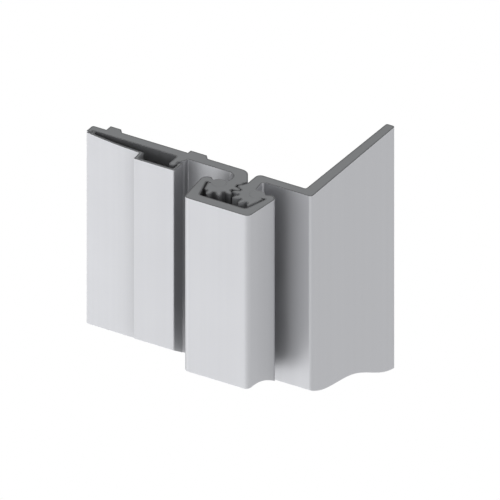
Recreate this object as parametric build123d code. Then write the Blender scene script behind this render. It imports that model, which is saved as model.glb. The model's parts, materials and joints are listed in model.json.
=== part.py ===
from build123d import *
from math import acos, atan2, cos, degrees, pi, radians, sin, sqrt, tan
import os

# Continuous geared hinge, a short sample length cut from long extrusions. Millimetres.
# The section is drawn in plan: X runs along the closed leaves with the frame leaf to the right, Y runs
# backwards into the door and frame, and the two pivots lie on Y = 0, one each side of X = 0.

# Length of the sample
sample_length = 76.2          # from the sawn top end to the mean height of the broken lower end
break_rise = [8.3, 8.2, 2.6, -2.3, -4.4, -6.3, -10.4, -15.3, -17.9]   # its wave, in even steps to the back
break_margin = 1.0            # how far the wave is drawn past the front and back of the hinge

# Gear teeth
pivot_spacing = 15.24
teeth_per_turn = 13
pressure_angle = 28.0
tip_height = 1.05             # from the pitch circle out to the teeth's tips
root_depth = 1.35             # and in to their roots
tooth_thinning = 0.1          # taken off each tooth so that the two gears run free
mesh_angle = -3.5             # of the door gear's first tooth, which lies between the pivots

# Rods of the cap and the grooves that turn on them
rod_radius = 2.6
rod_clearance = 0.05
groove_end_drop = 1.65        # how far below the pivot the groove's free lip ends

# Leaves
leaf_thickness = 3.8
leaf_back = 11.8              # from the pivots' plane to the back faces
neck_lip_reach = 1.2          # sideways from the pivot to the neck's edge, at the groove
neck_lip_rise = 1.9
neck_waist_reach = 2.15       # sideways from the pivot to the neck's side, above the groove
neck_waist_rise = 3.2

# Frame leaf
nose_gap = 0.25               # from the corner of the door leaf's nose to the web's near edge
web_corner_radius = 1.9
web_neck_reach = 2.75
web_neck_fillet = 1.0
flange_outer_root = 24.11
flange_root_thickness = 4.5
flange_draft = 0.34           # the outer face leans inwards by this much at the tip
flange_tip_thickness = 3.45
flange_depth = 51.4           # from the web's back face to the flange's tip
flange_root_fillet = 0.7
flange_edge_radius = 1.1
flange_tip_radii = (0.7, 1.0)
land_gap = 0.7                # between each gear's last land and the inside of the cap
web_edge_foot = 4.5           # from the pivots' plane up to the foot of the web's straight near edge
web_heel_top = (-0.1, 3.0)    # the heel above the frame gear's first tooth
web_heel_tip = (-1.0, 2.05)

# Door leaf
door_leaf_reach = 63.85       # from the hinge's middle to the free edge
end_block_step = 1.0          # the end block's back lies this far in front of the leaf's
end_block_corner = 0.8
end_block_leg = 1.25          # how far the end block's foot stands in front of the leaf
outer_pad_inset = 5.4         # from the free edge
outer_pad_width = 4.1
inner_pad_left = 26.9
inner_pad_width = 6.3
pad_height = 1.8
pad_slope = 1.5
nose_reach = 0.6
nose_rise = 5.4
nose_radius = 0.7
nose_throat = (-0.6, 3.75)    # where the slot beside the nose ends
nose_slot = 0.22              # between the door leaf and the web's heel, below the throat
heel_inset = 3.2
heel_radius = 4.0
door_neck_reach = 2.3
door_neck_fillet = 3.0

# Snap finger on the front of the door leaf
finger_left = 28.8
finger_waist = 2.15
finger_root = 4.2
finger_shoulder_drop = 1.4    # drops are from the leaf's front face
finger_waist_drop = 3.2
finger_root_fillet = 0.8
bulb_radius = 1.25
bulb_drop = 4.95

# Catch groove in the end block
catch_depth = 0.5
catch_block_width = 2.1
catch_lip = 0.6
catch_clearance = 0.05

# Cover
cover_skin = 0.9
cover_flat_skin = 1.05
screw_room = 7.9              # from the leaf's front face to the inside of the flat part
cover_return_skin = 1.0
cover_return_tip_drop = 3.25
cover_end_inset = 0.7         # the cover's free edge stops short of the end block's
cover_step = 41.0
cover_step_draft = 0.4
cover_step_skin = 1.2
cover_step_drop = 4.7
cover_bulge = 0.5             # rise of the curved part over its chord
snap_gap = 0.6                # from the finger's bulb to the return wall
nib_rise = 0.65               # the nib grips this far behind the bulb's centre
nib_clearance = 0.06
nib_back = 0.5                # the nib's short side, towards the leaf
nib_lead = 0.9                # and its long lead-in, towards the front
hook_skin = 0.8

# Screw holes of the door leaf, under the flat part of the cover
screw_hole_radius = 3.3
screw_spacing = 38.1

# Gear cap
cap_front = 14.4
cap_front_wall = 4.1
cap_front_half_width = 12.8
cap_side_slope = 6.58
cap_corner_radius = 1.9
cap_inner_half_width = 11.75  # at the arms' underside
cap_inner_slope = 15.75
cap_inner_radius = 1.2
arm_drop = 1.2                # from the pivots' plane down to the arms' underside
arm_rise = 0.95               # and up to their bare stretch beside the rods
hook_rise = 1.85
hook_reach = 2.8              # from the pivot out to the foot of the hook's slope
hook_slope = 1.2
hook_bend = 0.5
hook_radius = 2.4

# Thrust bearing and its lock
bearing_height = 12.7
bearing_clearance = 0.15
bearing_neck_inset = 2.22     # from the pivot to the side of the block's neck between the rods
bearing_back = 2.0
notch_room = 2.5              # from the block's back to the bottom of the notches milled in both gears
notch_play = 0.3
lock_height = 4.0
lock_bite = 0.78              # how deep the lock's ends enter the rods
lock_inset = 0.1
lock_corner_radius = 0.4
lock_clearance = 0.05

# Worked out from the sizes above
pitch_radius = pivot_spacing / 2
tip_radius = pitch_radius + tip_height
root_radius = pitch_radius - root_depth
base_radius = pitch_radius * cos(radians(pressure_angle))
groove_radius = rod_radius + rod_clearance
leaf_front = leaf_back - leaf_thickness
web_left = nose_reach + nose_gap
flange_tip = leaf_back + flange_depth
flange_inner_root = flange_outer_root - flange_root_thickness
flange_outer_tip = flange_outer_root - flange_draft
web_middle = (web_left + flange_inner_root) / 2
tooth_step = 360 / teeth_per_turn
top = sample_length / 2
lowest = -sample_length / 2 + min(break_rise) - 5
bearing_bottom = -bearing_height / 2
end_block_foot = leaf_front - end_block_leg
outer_pad_left = door_leaf_reach - outer_pad_inset
bulb_x = bulb_radius - finger_left
bulb_y = leaf_front - bulb_drop
cover_inside = leaf_front - screw_room
cover_step_left = -cover_step
cover_step_foot_left = cover_step_left + cover_step_draft
screw_x = (cover_step_foot_left + cover_step_skin - finger_left) / 2
notch_back = bearing_back + notch_room
lock_half_width = pitch_radius - rod_radius + lock_bite
reach = 2 * (door_leaf_reach + flange_outer_root + flange_tip)


def outline(*corners):
    """A closed outline from rows of x, y and corner radius."""
    points = [(x, y) for x, y, radius in corners]
    radii = [radius for x, y, radius in corners]
    return make_face(FilletPolyline(*points, radius=radii, close=True))


def mirrored(corners):
    """The same corners on the other side of X = 0, in the order that closes an outline."""
    return [(-x, y, radius) for x, y, radius in reversed(corners)]


def polar(radius, angle):
    return (radius * cos(radians(angle)), radius * sin(radians(angle)))


def half_tooth_angle(radius):
    """Half of a tooth's width as an angle at this radius, on the involute of the base circle."""
    pressure = acos(base_radius / radius)
    at_pitch = radians(pressure_angle)
    half_width = (pi * pitch_radius / teeth_per_turn - tooth_thinning) / (2 * pitch_radius)
    return degrees(half_width + (tan(at_pitch) - at_pitch) - (tan(pressure) - pressure))


def tooth(angle):
    """One tooth about the gear's own centre: two involute flanks, each as the arc through three points."""
    middle_radius = (base_radius + tip_radius) / 2
    flank_radii = (base_radius, middle_radius, tip_radius)
    left = [polar(radius, angle + half_tooth_angle(radius)) for radius in flank_radii]
    right = [polar(radius, angle - half_tooth_angle(radius)) for radius in flank_radii]
    inner_radius = (groove_radius + root_radius) / 2
    foot_left = polar(inner_radius, angle + half_tooth_angle(base_radius))
    foot_right = polar(inner_radius, angle - half_tooth_angle(base_radius))
    return make_face([
        Line(foot_right, right[0]),
        ThreePointArc(*right),
        ThreePointArc(right[2], polar(tip_radius, angle), left[2]),
        ThreePointArc(*reversed(left)),
        Line(left[0], foot_left),
        Line(foot_left, foot_right),
    ])


def arm_space(side, neck_reach):
    """Room for the cap's arm outside a gear's neck, and for the cap's wall beside the gear's land."""
    land_top = cap_inner_half_width_at(-groove_end_drop) - pitch_radius - land_gap
    land_bottom = cap_inner_half_width_at(-tip_radius) - pitch_radius - land_gap
    corners = [
        (-neck_lip_reach, neck_lip_rise, 0),
        (-neck_waist_reach, neck_waist_rise, 0),
        (-neck_reach, leaf_front, 0),
        (2 * tip_radius, leaf_front, 0),
        (2 * tip_radius, -tip_radius, 0),
        (land_bottom, -tip_radius, 0),
        (land_top, -groove_end_drop, 0.3),
        (0, -groove_end_drop, 0),
    ]
    return outline(*(corners if side > 0 else mirrored(corners)))


def gear_sector(side, tooth_angles, neck_reach):
    """The toothed quarter gear round one pivot."""
    sector = Circle(root_radius)
    for angle in tooth_angles:
        sector += tooth(angle)
    return Pos(side * pitch_radius, 0) * (sector - arm_space(side, neck_reach))


def groove(side):
    return Pos(side * pitch_radius, 0) * Circle(groove_radius)


def cap_inner_half_width_at(y):
    return cap_inner_half_width + (y + arm_drop) * tan(radians(cap_inner_slope))


def cap_outer_half_width_at(y):
    return cap_front_half_width + (y + cap_front) * tan(radians(cap_side_slope))


def sawn_length(section):
    """A section run from the sawn top end to the broken lower end."""
    bar = extrude(Pos(0, 0, lowest) * section, amount=top - lowest)
    return bar - below_break()


def below_break():
    """Everything under the wavy lower end, which is the same across the whole width."""
    first = -cap_front - break_margin
    last = flange_tip + break_margin
    step = (last - first) / (len(break_rise) - 1)
    knots = [(first + i * step, rise - sample_length / 2) for i, rise in enumerate(break_rise)]
    wave = Spline(*knots)
    floor = Polyline(knots[-1], (last, 2 * lowest), (first, 2 * lowest), knots[0])
    return extrude(Plane.YZ * make_face([wave, floor]), amount=reach, both=True)


def bearing_notch(play_below, play_above):
    """The slot milled through gear and neck where the thrust bearing sits."""
    height = bearing_height + play_below + play_above
    depth = notch_back + cap_front
    middle = (notch_back - cap_front) / 2
    width = 2 * cap_outer_half_width_at(notch_back)
    return Pos(0, middle, (play_above - play_below) / 2) * Box(width, depth, height)


def frame_leaf():
    """Web, neck and gear, with the flange that wraps round the corner of the frame."""
    first_tooth = 180 - mesh_angle - tooth_step / 2
    first_tip = polar(tip_radius, first_tooth)
    gear = gear_sector(1, [first_tooth + i * tooth_step for i in range(5)], web_neck_reach)
    web = outline(
        (web_left, leaf_back, web_corner_radius),
        (flange_inner_root, leaf_back, flange_root_fillet),
        (flange_outer_tip - flange_tip_thickness, flange_tip, flange_tip_radii[0]),
        (flange_outer_tip, flange_tip, flange_tip_radii[1]),
        (flange_outer_root, leaf_front, flange_edge_radius),
        (pitch_radius - web_neck_reach, leaf_front, web_neck_fillet),
        (pitch_radius - neck_waist_reach, neck_waist_rise, 1.2),
        (pitch_radius - neck_lip_reach, neck_lip_rise, 0),
        (pitch_radius + first_tip[0], first_tip[1], 0),
        (*web_heel_tip, 0),
        (*web_heel_top, 0.3),
        (web_left, web_edge_foot, 0.6),
    )
    leaf = sawn_length(web + gear - groove(1))
    return leaf - bearing_notch(0, notch_play)


def door_leaf():
    """Flat leaf with its locating pads, end block, snap finger, neck and gear."""
    gear = gear_sector(-1, [mesh_angle - i * tooth_step for i in range(4)], door_neck_reach)
    heel_angle = degrees(atan2(web_heel_top[1] - web_heel_tip[1], web_heel_top[0] - web_heel_tip[0]))
    slot_x, slot_y = polar(nose_slot, heel_angle + 90)
    pad_back = leaf_back + pad_height
    leg_right = door_leaf_reach - catch_block_width
    leaf = outline(
        (-door_leaf_reach, leaf_back - end_block_step, end_block_corner),
        (-outer_pad_left, leaf_back - end_block_step, 0),
        (-outer_pad_left, pad_back, 0.2),
        (-outer_pad_left + outer_pad_width, pad_back, 0.2),
        (-outer_pad_left + outer_pad_width + pad_slope, leaf_back, 0.3),
        (-inner_pad_left, leaf_back, 0),
        (-inner_pad_left, pad_back, 0.2),
        (-inner_pad_left + inner_pad_width, pad_back, 0.2),
        (-inner_pad_left + inner_pad_width + pad_slope, leaf_back, 0.3),
        (-heel_inset, leaf_back, heel_radius),
        (nose_reach, nose_rise, nose_radius),
        (*nose_throat, 0.3),
        (web_heel_top[0] + slot_x, web_heel_top[1] + slot_y, 0),
        (web_heel_tip[0] + slot_x, web_heel_tip[1] + slot_y, 0),
        (-pitch_radius + neck_lip_reach, neck_lip_rise, 0),
        (-pitch_radius + neck_waist_reach, neck_waist_rise, 1.2),
        (-pitch_radius + door_neck_reach, leaf_front, door_neck_fillet),
        (-finger_left + finger_root, leaf_front, 0.3),
        (-finger_left + finger_root - 0.4, leaf_front - finger_shoulder_drop, 0.5),
        (-finger_left + finger_waist, leaf_front - finger_waist_drop, 0.5),
        (-finger_left + finger_waist, bulb_y, 0),
        (-finger_left, bulb_y, 0),
        (-finger_left, leaf_front, finger_root_fillet),
        (-leg_right - catch_depth, leaf_front, 0),
        (-leg_right - catch_depth, end_block_foot + catch_lip, 0),
        (-leg_right, end_block_foot + catch_lip, 0),
        (-leg_right, end_block_foot, 0.15),
        (-door_leaf_reach, end_block_foot, 0.15),
    )
    bulb = Pos(bulb_x, bulb_y) * Circle(bulb_radius)
    bar = sawn_length(leaf + bulb + gear - groove(-1))
    bar -= bearing_notch(notch_play, 0)
    hole_axis = Pos(screw_x, leaf_back, 0) * Rot(90, 0, 0)
    for side in (-1, 1):
        hole = Cylinder(screw_hole_radius, 4 * leaf_thickness)
        bar -= Pos(0, 0, side * screw_spacing / 2) * hole_axis * hole
    return bar


def door_leaf_cover():
    """Snap-fit cover: curved part, step, proud flat part and the return wall with its nib."""
    leg_right = door_leaf_reach - catch_block_width
    step_right = cover_step_left + cover_step_skin
    end = (-door_leaf_reach + cover_end_inset, end_block_foot - cover_skin)
    start = (step_right, leaf_front - cover_step_drop)
    crown = ((end[0] + start[0]) / 2, (end[1] + start[1]) / 2 - cover_bulge)
    outer = [end, crown, start]
    inner = [(x, y + cover_skin) for x, y in outer]
    curved = make_face([
        ThreePointArc(*outer),
        Line(outer[2], inner[2]),
        ThreePointArc(*reversed(inner)),
        Line(inner[0], outer[0]),
    ])
    hook_left = -leg_right + catch_clearance
    hook_foot = end_block_foot - cover_skin / 2
    catch_roof = leaf_front - catch_clearance
    catch_floor = end_block_foot + catch_lip + catch_clearance
    nib_left = hook_left - catch_depth
    hook = outline(
        (hook_left, hook_foot, 0),
        (hook_left, catch_floor, 0),
        (nib_left, catch_floor, 0),
        (nib_left, catch_roof, 0.15),
        (hook_left + hook_skin, catch_roof, 0.3),
        (hook_left + hook_skin, hook_foot, 0),
    )
    return_left = bulb_x + bulb_radius + snap_gap
    return_right = return_left + cover_return_skin
    return_tip = leaf_front - cover_return_tip_drop
    grip_x = bulb_x + sqrt(bulb_radius**2 - nib_rise**2) + nib_clearance
    grip_y = bulb_y + nib_rise
    cover_front = cover_inside - cover_flat_skin
    tray = outline(
        (cover_step_left, start[1] + cover_skin / 2, 0),
        (cover_step_foot_left, cover_front, 0.35),
        (return_right, cover_front, 0.5),
        (return_right, return_tip, 0.3),
        (return_left, return_tip, 0.2),
        (return_left, grip_y + nib_back, 0),
        (grip_x, grip_y, 0.15),
        (return_left, grip_y - nib_lead, 0.3),
        (return_left, cover_inside, 0.3),
        (cover_step_foot_left + cover_step_skin, cover_inside, 0.3),
        (step_right, start[1] + cover_skin / 2, 0),
    )
    return sawn_length(curved + hook + tray)


def gear_cap():
    """C-shaped clamp: front wall, two sloping sides and two arms that end in the pivot rods."""
    half = [
        (cap_front_half_width, -cap_front, cap_corner_radius),
        (cap_outer_half_width_at(hook_rise), hook_rise, hook_radius),
        (pitch_radius + hook_reach + hook_slope, hook_rise, hook_bend),
        (pitch_radius + hook_reach, arm_rise, hook_bend),
        (pitch_radius, arm_rise, 0),
        (pitch_radius, -arm_drop, 0),
        (cap_inner_half_width, -arm_drop, 0.3),
        (cap_inner_half_width_at(cap_front_wall - cap_front), cap_front_wall - cap_front, cap_inner_radius),
    ]
    section = outline(*half, *mirrored(half))
    for side in (-1, 1):
        section += Pos(side * pitch_radius, 0) * Circle(rod_radius)
    lock_slot = Box(2 * (lock_half_width + lock_clearance), 2 * rod_radius, lock_height + 2 * lock_clearance)
    return sawn_length(section) - lock_slot


def bearing_lock():
    """Key across the back of the bearing, whose ends enter the notches in both rods."""
    back = bearing_back - lock_inset
    key = Box(2 * lock_half_width, back + arm_drop, lock_height)
    key = fillet(key.edges().filter_by(Axis.Z), lock_corner_radius)
    return Pos(0, (back - arm_drop) / 2, 0) * key


def thrust_bearing():
    """Block that fills the inside of the cap between the two notched gears."""
    under_arm = -arm_drop - bearing_clearance
    front = cap_front_wall - cap_front + bearing_clearance
    half = [
        (cap_inner_half_width_at(front) - bearing_clearance, front, cap_inner_radius),
        (cap_inner_half_width_at(under_arm) - bearing_clearance, under_arm, 0.4),
        (pitch_radius - bearing_neck_inset, under_arm, 0),
        (pitch_radius - bearing_neck_inset, bearing_back, 0.3),
    ]
    section = outline(*half, *mirrored(half))
    for side in (-1, 1):
        section -= Pos(side * pitch_radius, 0) * Circle(rod_radius + rod_clearance)
    block = extrude(Pos(0, 0, bearing_bottom) * section, amount=bearing_height)
    slot_depth = 2 * (bearing_back + arm_drop)
    slot = Box(2 * pitch_radius, slot_depth, lock_height)
    return block - Pos(0, slot_depth / 2 - arm_drop, 0) * slot


parts = {
    "frame_leaf": frame_leaf,
    "door_leaf": door_leaf,
    "door_leaf_cover": door_leaf_cover,
    "gear_cap": gear_cap,
    "thrust_bearing": thrust_bearing,
    "bearing_lock": bearing_lock,
}

# The part's own origin is the middle of the web's back face, where the frame leaf is fixed
to_origin = Pos(-web_middle, -leaf_back, 0)

os.makedirs("parts", exist_ok=True)
for name, build in parts.items():
    export_step(to_origin * build(), f"parts/{name}.step")
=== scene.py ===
import json
import math
import bpy
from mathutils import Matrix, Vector


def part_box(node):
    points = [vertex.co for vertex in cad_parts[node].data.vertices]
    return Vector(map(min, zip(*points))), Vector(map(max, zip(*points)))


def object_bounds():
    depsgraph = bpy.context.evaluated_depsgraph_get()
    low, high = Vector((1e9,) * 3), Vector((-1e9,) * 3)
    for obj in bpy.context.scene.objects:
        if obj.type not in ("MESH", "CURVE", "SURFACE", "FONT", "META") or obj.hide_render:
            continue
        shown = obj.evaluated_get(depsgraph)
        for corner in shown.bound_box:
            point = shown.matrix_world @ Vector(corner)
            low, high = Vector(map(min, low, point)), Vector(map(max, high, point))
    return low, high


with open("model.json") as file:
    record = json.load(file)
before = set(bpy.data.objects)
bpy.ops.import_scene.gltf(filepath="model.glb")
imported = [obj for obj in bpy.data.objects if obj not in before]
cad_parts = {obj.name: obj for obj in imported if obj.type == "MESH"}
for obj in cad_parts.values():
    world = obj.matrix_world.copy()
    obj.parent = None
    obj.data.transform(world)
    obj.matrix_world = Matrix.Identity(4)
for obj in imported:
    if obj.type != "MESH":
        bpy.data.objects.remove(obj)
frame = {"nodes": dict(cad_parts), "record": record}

cad_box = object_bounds()

# Frame leaf: it stays on the door frame, with its web on the frame's face and its flange round the corner.
# Extruded aluminium, satin etched and clear anodised as a long bar, so its skin keeps the die's faint lines.
# The sample was cut off the bar afterwards, so both of its ends are bare metal with the marks of the blade.


def group_socket(group, name, in_out, kind, value=None):
    socket = group.interface.new_socket(name, in_out=in_out, socket_type="NodeSocket" + kind)
    if value is not None:
        socket.default_value = value


def add_node(tree, kind, inputs=(), **settings):
    """A node with its settings. Each input takes a value or is linked from another node's output."""
    node = tree.nodes.new("ShaderNode" + kind)
    for setting, value in settings.items():
        setattr(node, setting, value)
    for socket, value in dict(inputs).items():
        if isinstance(value, bpy.types.NodeSocket):
            tree.links.new(value, node.inputs[socket])
        else:
            node.inputs[socket].default_value = value
    return node


def maths(tree, operation, *values):
    return add_node(tree, "Math", dict(enumerate(values)), operation=operation).outputs[0]


def vector_maths(tree, operation, *values):
    return add_node(tree, "VectorMath", dict(enumerate(values)), operation=operation).outputs[0]


def smooth_step(tree, value, low, high):
    """0 up to the low value, 1 from the high value on, and a smooth rise between them."""
    inputs = {"Value": value, "From Min": low, "From Max": high}
    return add_node(tree, "MapRange", inputs, interpolation_type="SMOOTHSTEP").outputs["Result"]


def distance_from(tree, place, middle, axes):
    """How far a place lies from a middle, where only the axes that are given as 1 count."""
    offset = vector_maths(tree, "SUBTRACT", place, middle)
    counted_offset = vector_maths(tree, "MULTIPLY", offset, axes)
    return add_node(tree, "VectorMath", {0: counted_offset}, operation="LENGTH").outputs["Value"]


def noise(tree, place, scale, detail):
    """A noise about zero, from -0.5 to 0.5."""
    texture = add_node(tree, "TexNoise", {"Vector": place, "Scale": scale, "Detail": detail})
    return maths(tree, "SUBTRACT", texture.outputs["Fac"], 0.5)


def shaded(tree, colour, *shades):
    """The colour made lighter or darker by the sum of the shades."""
    factor = 1.0
    for shade in shades:
        factor = maths(tree, "ADD", shade, factor)
    return add_node(tree, "VectorMath", {0: colour, "Scale": factor}, operation="SCALE").outputs[0]


def blended(tree, mask, kind, base, over):
    socket_pair = {"RGBA": ("A_Color", "B_Color"), "FLOAT": ("A_Float", "B_Float")}[kind]
    node = add_node(tree, "Mix", data_type=kind)
    tree.links.new(mask, node.inputs[0])
    for identifier, value in zip(socket_pair, (base, over)):
        socket = next(s for s in node.inputs if s.identifier == identifier)
        tree.links.new(value, socket)
    return next(s for s in node.outputs if s.identifier == "Result_" + identifier.split("_")[1])


def finish_group(group, **results):
    out = group.nodes.new("NodeGroupOutput")
    for name, value in results.items():
        group.links.new(value, out.inputs[name])
    return group


def new_finish_group(name, inputs, outputs):
    group = bpy.data.node_groups.new(name, "ShaderNodeTree")
    for socket, (kind, value) in inputs.items():
        group_socket(group, socket, "INPUT", kind, value)
    for socket, kind in outputs.items():
        group_socket(group, socket, "OUTPUT", kind)
    return group, group.nodes.new("NodeGroupInput").outputs


def near_edge(tree, width):
    """1 at a sharp edge of the metal, fading to 0 at this distance from it."""
    flat_turn = 0.03
    edge_turn = 0.4
    rounded = add_node(tree, "Bevel", {"Radius": width}, samples=6).outputs[0]
    turned = vector_maths(tree, "SUBTRACT", rounded, add_node(tree, "NewGeometry").outputs["Normal"])
    turn = add_node(tree, "VectorMath", {0: turned}, operation="LENGTH").outputs["Value"]
    return smooth_step(tree, turn, flat_turn, edge_turn)


def make_extruded_skin():
    """Die lines along the bar, a soft cloudiness, the grain of the etch, and sharp edges made lighter as a
    painted highlight.
    """
    fine_line_scale = (2200, 2200, 9)
    broad_band_scale = (420, 420, 3)
    cloud_scale = 60
    grain_scale = 9000
    group, given = new_finish_group(
        "extruded_skin",
        {
            "Colour": ("Color", (0.8, 0.8, 0.8, 1)),
            "Roughness": ("Float", 0.5),
            "Line shade": ("Float", 0.03),
            "Cloud shade": ("Float", 0.03),
            "Painted edge highlight": ("Float", 0.1),
            "Edge width": ("Float", 0.0006),
            "Place along bar": ("Float", 0.0),
        },
        {"Colour": "Color", "Roughness": "Float", "Height": "Float"},
    )
    bar = given["Place along bar"]
    shift = add_node(group, "CombineXYZ", {"X": bar, "Y": bar}).outputs[0]
    place = vector_maths(group, "ADD", add_node(group, "TexCoord").outputs["Object"], shift)
    drawn = add_node(group, "Mapping", {"Vector": place, "Scale": fine_line_scale}).outputs[0]
    broad = add_node(group, "Mapping", {"Vector": place, "Scale": broad_band_scale}).outputs[0]
    lines = noise(group, drawn, 1, 3)
    bands = noise(group, broad, 1, 1)
    cloud = noise(group, place, cloud_scale, 4)
    grain = noise(group, place, grain_scale, 2)
    line_shade = maths(group, "MULTIPLY", maths(group, "ADD", lines, bands), given["Line shade"])
    cloud_shade = maths(group, "MULTIPLY", cloud, given["Cloud shade"])
    # Painted highlight: the colour is made lighter near sharp edges.
    painted_edge_highlight = maths(group, "MULTIPLY", near_edge(group, given["Edge width"]), given["Painted edge highlight"])
    line_gloss = maths(group, "MULTIPLY", lines, 0.1)
    cloud_gloss = maths(group, "MULTIPLY", cloud, 0.06)
    gloss = maths(group, "ADD", line_gloss, cloud_gloss)
    line_height = maths(group, "MULTIPLY", lines, 0.6)
    grain_height = maths(group, "MULTIPLY", grain, 0.4)
    return finish_group(
        group,
        Colour=shaded(group, given["Colour"], line_shade, cloud_shade, painted_edge_highlight),
        Roughness=maths(group, "ADD", given["Roughness"], gloss),
        Height=maths(group, "ADD", line_height, grain_height),
    )


def away_from_rods(tree, place):
    """0 on the rods' ends and their grooves' rims, where the painted edge shade is left off. 1 elsewhere."""
    cleaned_radius = 0.0031
    rough_radius = 0.0036
    joints = frame["record"]["behaviour"]["joints"]
    distances = [distance_from(tree, place, joint["pos_m"], (1, 1, 0)) for joint in joints]
    return smooth_step(tree, maths(tree, "MINIMUM", *distances), cleaned_radius, rough_radius)


def make_sawn_end():
    """Where a face lies across the bar: the saw blade's curved marks on bare metal, darkened along its edges
    by painted shade.
    """
    least_slope = 0.3
    full_slope = 0.4
    blade_middle = (0.06, -0.16, 0)
    mark_scale = 2600
    patch_scale = 120
    group, given = new_finish_group(
        "sawn_end",
        {
            "Colour": ("Color", (0.3, 0.3, 0.3, 1)),
            "Roughness": ("Float", 0.5),
            "Mark shade": ("Float", 0.2),
            "Painted edge shade": ("Float", 0.6),
            "Painted edge width": ("Float", 0.001),
        },
        {"Mask": "Float", "Colour": "Color", "Roughness": "Float", "Height": "Float"},
    )
    coordinate = add_node(group, "TexCoord").outputs
    across = add_node(group, "SeparateXYZ", {0: coordinate["Normal"]}).outputs["Z"]
    mask = smooth_step(group, maths(group, "ABSOLUTE", across), least_slope, full_slope)
    arc = distance_from(group, coordinate["Object"], blade_middle, (1, 1, 0))
    rings = add_node(group, "CombineXYZ", {"X": arc}).outputs[0]
    marks = noise(group, rings, mark_scale, 3)
    patches = noise(group, coordinate["Object"], patch_scale, 3)
    edge = near_edge(group, given["Painted edge width"])
    # Painted shade: the sawn ends are darker in a band along their edges, except round the rods.
    painted_edge_mask = maths(group, "MULTIPLY", edge, away_from_rods(group, coordinate["Object"]))
    mark_shade = maths(group, "MULTIPLY", marks, given["Mark shade"])
    patch_shade = maths(group, "MULTIPLY", patches, maths(group, "MULTIPLY", given["Mark shade"], 0.5))
    painted_edge_shade = maths(group, "MULTIPLY", painted_edge_mask, maths(group, "MULTIPLY", given["Painted edge shade"], -1))
    mark_gloss = maths(group, "MULTIPLY", marks, 0.2)
    return finish_group(
        group,
        Mask=mask,
        Colour=shaded(group, given["Colour"], mark_shade, patch_shade, painted_edge_shade),
        Roughness=maths(group, "ADD", given["Roughness"], mark_gloss),
        Height=marks,
    )


def make_painted_recess_shade():
    """The colour darkened as painted shade where the metal round a spot shelters it, as in grooves and
    recesses.
    """
    group, given = new_finish_group(
        "painted_recess_shade",
        {
            "Colour": ("Color", (0.8, 0.8, 0.8, 1)),
            "Depth of shade": ("Float", 0.65),
            "Reach": ("Float", 0.012),
        },
        {"Colour": "Color"},
    )
    open_share = add_node(group, "AmbientOcclusion", {"Distance": given["Reach"]}, samples=8).outputs["AO"]
    darker = maths(group, "SUBTRACT", open_share, 1)
    shade = maths(group, "MULTIPLY", darker, given["Depth of shade"])
    return finish_group(group, Colour=shaded(group, given["Colour"], shade))


def placed_group(tree, group, **inputs):
    """A node group in a material, with its named inputs set or linked."""
    node = add_node(tree, "Group", node_tree=group)
    for name, value in inputs.items():
        socket = node.inputs[name.replace("_", " ").capitalize()]
        if isinstance(value, bpy.types.NodeSocket):
            tree.links.new(value, socket)
        else:
            socket.default_value = value
    return node.outputs


def new_material(name):
    material = bpy.data.materials.new(name)
    material.use_nodes = True
    material.node_tree.nodes.clear()
    return material, material.node_tree


def mill_finish(tree, skin, end):
    """The skin of a bar with its sawn ends laid over it, as colour, roughness and height."""
    mask = end["Mask"]
    colour = blended(tree, mask, "RGBA", skin["Colour"], end["Colour"])
    roughness = blended(tree, mask, "FLOAT", skin["Roughness"], end["Roughness"])
    height = blended(tree, mask, "FLOAT", skin["Height"], end["Height"])
    return colour, roughness, height


extruded_skin = make_extruded_skin()
sawn_end = make_sawn_end()
painted_recess_shade = make_painted_recess_shade()
anodised_grey = (0.55, 0.555, 0.575, 1)
anodised_roughness = 0.58
# Grey of the sawn ends: partly the bare metal's own tone, partly painted shade on the faces across the bar.
bare_and_painted_shade_grey = (0.207, 0.212, 0.217, 1)
bare_roughness = 0.5
relief_depth = 0.00002


def anodised_aluminium(name, place_along_bar, shade=0.65, painted_shade_reach=0.012, bores=()):
    """Anodised skin, bare sawn ends and, where bores are given, bare drilled walls, with painted shade in
    grooves and recesses.
    """
    material, tree = new_material(name)
    skin = placed_group(
        tree,
        extruded_skin,
        colour=anodised_grey,
        roughness=anodised_roughness,
        place_along_bar=place_along_bar,
    )
    end = placed_group(tree, sawn_end, colour=bare_and_painted_shade_grey, roughness=bare_roughness)
    surface, roughness, height = mill_finish(tree, skin, end)
    for bore in bores:
        mask, wall_colour, wall_roughness = bore(tree)
        surface = blended(tree, mask, "RGBA", surface, wall_colour)
        roughness = blended(tree, mask, "FLOAT", roughness, wall_roughness)
    bump = add_node(tree, "Bump", {"Height": height, "Strength": 0.15, "Distance": relief_depth})
    # Painted shade: the colour is darkened where the space round a spot is closed in, as in recesses.
    with_painted_shade = placed_group(tree, painted_recess_shade, colour=surface, depth_of_shade=shade, reach=painted_shade_reach)
    shader = add_node(tree, "BsdfPrincipled", {
        "Base Color": with_painted_shade["Colour"],
        "Roughness": roughness,
        "Normal": bump.outputs[0],
        "Metallic": 0.95,
    })
    add_node(tree, "OutputMaterial", {"Surface": shader.outputs[0]})
    return material


def paint(node, material):
    frame["nodes"][node].data.materials.clear()
    frame["nodes"][node].data.materials.append(material)


# The frame leaf gets only a light painted shade.
paint("frame_leaf", anodised_aluminium("frame_leaf_finish", 0.0, shade=0.2))

# Door leaf: it is screwed flat on the door. An extrusion of the same aluminium, with the same finish.
# Its screw holes were drilled after anodising, so their walls are bare and show the rings of the drill.
screw_mount = next(mount for mount in frame["record"]["mounts"] if mount["name"] == "door_screws")
millimetre = 0.001
screw_hole_radius = screw_mount["dims"]["hole_r_mm"] * millimetre
screw_hole_x, screw_hole_y, screw_hole_z = screw_mount["pos_m"]
half_screw_spacing = screw_mount["dims"]["spacing_y_mm"] * millimetre / 2
drill_margin = 0.0002
drill_ring_scale = 4000
bright_cut = (0.5, 0.5, 0.5)
bright_cut_roughness = 0.35


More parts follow.
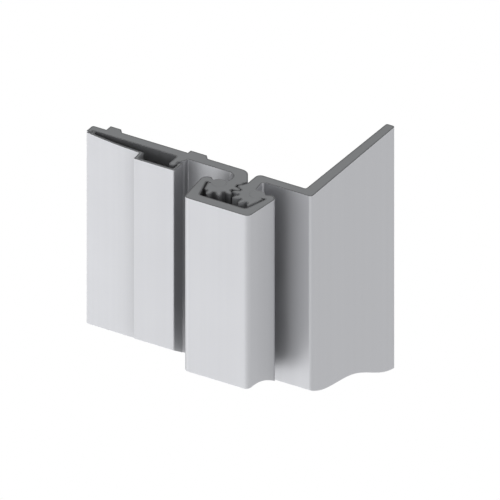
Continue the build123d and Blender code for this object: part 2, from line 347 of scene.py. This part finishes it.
def drilled_wall(hole_z):
    """The bare wall of the screw hole whose axis is at this height."""
    def wall(tree):
        coordinate = add_node(tree, "TexCoord").outputs
        axis_place = (screw_hole_x, screw_hole_y, hole_z)
        distance = distance_from(tree, coordinate["Object"], axis_place, (1, 0, 1))
        near_axis = maths(tree, "LESS_THAN", distance, screw_hole_radius + drill_margin)
        along_axis = add_node(tree, "SeparateXYZ", {0: coordinate["Normal"]}).outputs["Y"]
        facing_sideways = maths(tree, "LESS_THAN", maths(tree, "ABSOLUTE", along_axis), 0.5)
        mask = maths(tree, "MULTIPLY", near_axis, facing_sideways)
        depth = vector_maths(tree, "MULTIPLY", coordinate["Object"], (0, 1, 0))
        rings = noise(tree, depth, drill_ring_scale, 2)
        colour = shaded(tree, bright_cut, maths(tree, "MULTIPLY", rings, 0.4))
        roughness = maths(tree, "ADD", maths(tree, "MULTIPLY", rings, 0.2), bright_cut_roughness)
        return mask, colour, roughness
    return wall


door_bores = [drilled_wall(screw_hole_z + side * half_screw_spacing) for side in (-1, 1)]
paint("door_leaf", anodised_aluminium("door_leaf_finish", 0.3, bores=door_bores))

# Gear cap: the C-shaped extrusion that is slid on from the end and holds the two gears together by its rods.
# Same alloy and anodising, from another bar, so its die lines fall elsewhere.
# The cap's painted shade is deeper and reaches further, and darkens its sides beside the web.
paint("gear_cap", anodised_aluminium("gear_cap_finish", 0.9, shade=0.6, painted_shade_reach=0.02))

# Thrust bearing: a block of natural white acetal, machined, then laid into the milled notch of both gears.
# It carries the door's weight, so its two bearing faces are rubbed a little smoother and greyer.


def make_machined_acetal():
    """Slight mottling of natural acetal, with the cutter's fine lines, and greyer where it is rubbed."""
    mottle_scale = 400
    cutter_line_scale = (300, 5000, 5000)
    least_slope = 0.8
    full_slope = 0.95
    group, given = new_finish_group(
        "machined_acetal",
        {
            "Colour": ("Color", (0.8, 0.8, 0.8, 1)),
            "Roughness": ("Float", 0.4),
            "Rubbed shade": ("Float", 0.1),
        },
        {"Colour": "Color", "Roughness": "Float", "Height": "Float"},
    )
    coordinate = add_node(group, "TexCoord").outputs
    mottle = noise(group, coordinate["Object"], mottle_scale, 4)
    drawn = add_node(group, "Mapping", {"Vector": coordinate["Object"], "Scale": cutter_line_scale})
    cutter_lines = noise(group, drawn.outputs[0], 1, 3)
    across = add_node(group, "SeparateXYZ", {0: coordinate["Normal"]}).outputs["Z"]
    rubbed = smooth_step(group, maths(group, "ABSOLUTE", across), least_slope, full_slope)
    rubbed_shade = maths(group, "MULTIPLY", rubbed, maths(group, "MULTIPLY", given["Rubbed shade"], -1))
    mottle_shade = maths(group, "MULTIPLY", mottle, 0.08)
    rubbed_gloss = maths(group, "MULTIPLY", rubbed, -0.08)
    cutter_gloss = maths(group, "MULTIPLY", cutter_lines, 0.15)
    gloss = maths(group, "ADD", cutter_gloss, rubbed_gloss)
    return finish_group(
        group,
        Colour=shaded(group, given["Colour"], mottle_shade, rubbed_shade),
        Roughness=maths(group, "ADD", given["Roughness"], gloss),
        Height=cutter_lines,
    )


machined_acetal = make_machined_acetal()
natural_white = (0.78, 0.77, 0.73, 1)
cutter_line_depth = 0.00001


def acetal(name, rubbed_shade):
    material, tree = new_material(name)
    skin = placed_group(tree, machined_acetal, colour=natural_white, rubbed_shade=rubbed_shade)
    bump = add_node(tree, "Bump", {
        "Height": skin["Height"],
        "Strength": 0.2,
        "Distance": cutter_line_depth,
    })
    shader = add_node(tree, "BsdfPrincipled", {
        "Base Color": skin["Colour"],
        "Roughness": skin["Roughness"],
        "Normal": bump.outputs[0],
        "IOR": 1.48,
    })
    add_node(tree, "OutputMaterial", {"Surface": shader.outputs[0]})
    return material


paint("thrust_bearing", acetal("thrust_bearing_finish", 0.12))

# Bearing lock: a small key of the same acetal, pushed into the bearing's back after the cap is on.
# Its ends enter a shallow notch in each rod, so that the cap can't slide along the gears.
paint("bearing_lock", acetal("bearing_lock_finish", 0.04))

# Cover: the last piece to go on, a thin extrusion that snaps on the door leaf once that is on the door.
# It hides the screws, and hooks in the end block and behind the snap finger, without a fixing of its own.
paint("door_leaf_cover", anodised_aluminium("door_leaf_cover_finish", 0.6))

# Floor: the pale table of the studio, painted, well below the sample.
# Seen directly or in the metal it is plain white, and otherwise it only sends back the lamps' light.
floor_level = -1.0
floor_half_size = 3.0
floor_corners = [(-1, -1), (1, -1), (1, 1), (-1, 1)]
pale_paint = (0.8, 0.8, 0.8, 1)
plain_white = (1, 1, 1, 1)


def seen_or_reflected(tree):
    path = add_node(tree, "LightPath").outputs
    seen = maths(tree, "MAXIMUM", path["Is Camera Ray"], path["Is Glossy Ray"])
    return maths(tree, "MAXIMUM", seen, path["Is Transmission Ray"])


floor_points = [(x * floor_half_size, y * floor_half_size, 0) for x, y in floor_corners]
floor_mesh = bpy.data.meshes.new("floor")
floor_mesh.from_pydata(floor_points, [], [(0, 1, 2, 3)])
floor = bpy.data.objects.new("floor", floor_mesh)
floor.location.z = floor_level
bpy.context.scene.collection.objects.link(floor)
floor_paint, tree = new_material("pale_floor")
lit = add_node(tree, "BsdfDiffuse", {"Color": pale_paint}).outputs[0]
white = add_node(tree, "Emission", {"Color": plain_white, "Strength": 1.0}).outputs[0]
shown = add_node(tree, "MixShader", {0: seen_or_reflected(tree), 1: lit, 2: white})
add_node(tree, "OutputMaterial", {"Surface": shown.outputs[0]})
floor_mesh.materials.append(floor_paint)

# Studio walls: a white room all round, which shows as plain white behind the sample and in its gloss.
# It lights the sample only softly, so that the lamps shape it.
room_light = 0.25
shown_white = 1.0
world = bpy.data.worlds.new("studio")
bpy.context.scene.world = world
world.use_nodes = True
tree = world.node_tree
tree.nodes.clear()
strength = add_node(tree, "MapRange", {
    "Value": seen_or_reflected(tree),
    "To Min": room_light,
    "To Max": shown_white,
})
background = add_node(tree, "Background", {"Color": plain_white, "Strength": strength.outputs[0]})
add_node(tree, "OutputWorld", {"Surface": background.outputs[0]})

# Lamps: three square soft boxes. A low one to the front left, which the front faces mirror to the camera,
# a weaker low one near the middle that reaches behind the cap, and one to the right for the side faces.
middle = (cad_box[0] + cad_box[1]) / 2
lamp_size = 0.7
lamp_distance = 1.0


def soft_box(name, azimuth, elevation, watts):
    """A square lamp that looks at the sample. Azimuth 0 is in front, 90 is on the right."""
    turn = math.radians(azimuth)
    rise = math.radians(elevation)
    outwards = Vector((
        math.sin(turn) * math.cos(rise),
        -math.cos(turn) * math.cos(rise),
        math.sin(rise),
    ))
    light = bpy.data.lights.new(name, "AREA")
    light.shape = "SQUARE"
    light.size = lamp_size
    light.energy = watts
    lamp = bpy.data.objects.new(name, light)
    lamp.location = middle + outwards * lamp_distance
    lamp.rotation_mode = "QUATERNION"
    lamp.rotation_quaternion = (-outwards).to_track_quat("-Z", "Y")
    bpy.context.scene.collection.objects.link(lamp)


soft_box("left_soft_box", -43, -28, 2.0)
soft_box("middle_soft_box", 12, -25, 0.8)
soft_box("right_soft_box", 60, 15, 0.7)

# Camera: it looks from the front right and above, without perspective, and frames the sample as the photo
# does. The front corner of the frame leaf's sawn top, where web and flange meet, lies at corner_pixel.
photo_side = 500
corner_pixel = (311.5, 196.95)
pixel_size = 0.0003374
view_turn = math.radians(31.16)
view_rise = math.radians(30.15)
camera_distance = 0.6
leaf_front = -0.0038
right = Vector((math.cos(view_turn), math.sin(view_turn), 0))
up = Vector((
    -math.sin(view_turn) * math.sin(view_rise),
    math.cos(view_turn) * math.sin(view_rise),
    math.cos(view_rise),
))
towards_camera = right.cross(up)
leaf_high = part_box("frame_leaf")[1]
corner = Vector((leaf_high.x, leaf_front, leaf_high.z))
picture_middle = photo_side / 2
aim = corner + right * (picture_middle - corner_pixel[0]) * pixel_size
aim -= up * (picture_middle - corner_pixel[1]) * pixel_size
camera_data = bpy.data.cameras.new("camera")
camera_data.type = "ORTHO"
camera_data.ortho_scale = photo_side * pixel_size
camera = bpy.data.objects.new("camera", camera_data)
camera.location = aim + towards_camera * camera_distance
camera.rotation_mode = "QUATERNION"
camera.rotation_quaternion = (-towards_camera).to_track_quat("-Z", "Y")
bpy.context.scene.collection.objects.link(camera)
bpy.context.scene.camera = camera
bpy.context.scene.view_settings.view_transform = "Standard"
